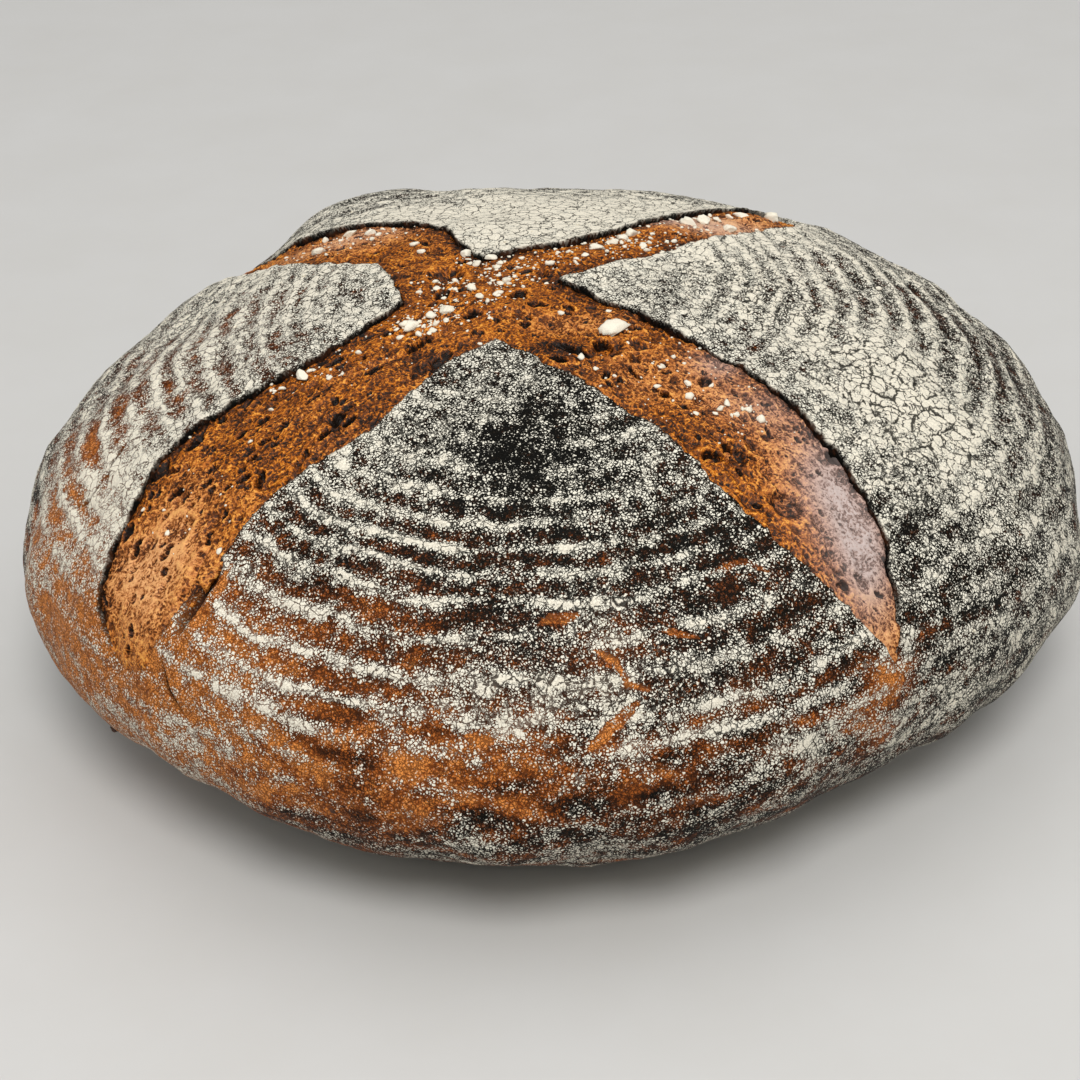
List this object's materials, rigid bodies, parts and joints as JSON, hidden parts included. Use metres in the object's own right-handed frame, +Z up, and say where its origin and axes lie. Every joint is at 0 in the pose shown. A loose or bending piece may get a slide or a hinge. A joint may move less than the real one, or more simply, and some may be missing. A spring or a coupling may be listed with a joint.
{
  "type": "sourdough loaf",
  "caption": "Round whole sourdough loaf, scored with a cross that opened in the oven, on a flat base.",
  "frame": {"origin": "middle of the flat base that the loaf stands on, under the middle of its bounding box", "axes": "+Z up through the crown, front of the loaf towards -Y, +X to its right"},
  "size_m": [0.2814, 0.2785, 0.1161],
  "materials": {
    "crust": "baked crust, dark and red brown under rings of pale flour, matte",
    "crumb": "torn and toasted crumb in the open score, golden to dark brown, matte with a slight sheen",
    "flour": "caked cream-white flour, fully matte"
  },
  "bodies": {
    "root": {"loaf": "crust"}
  },
  "joints": []
}
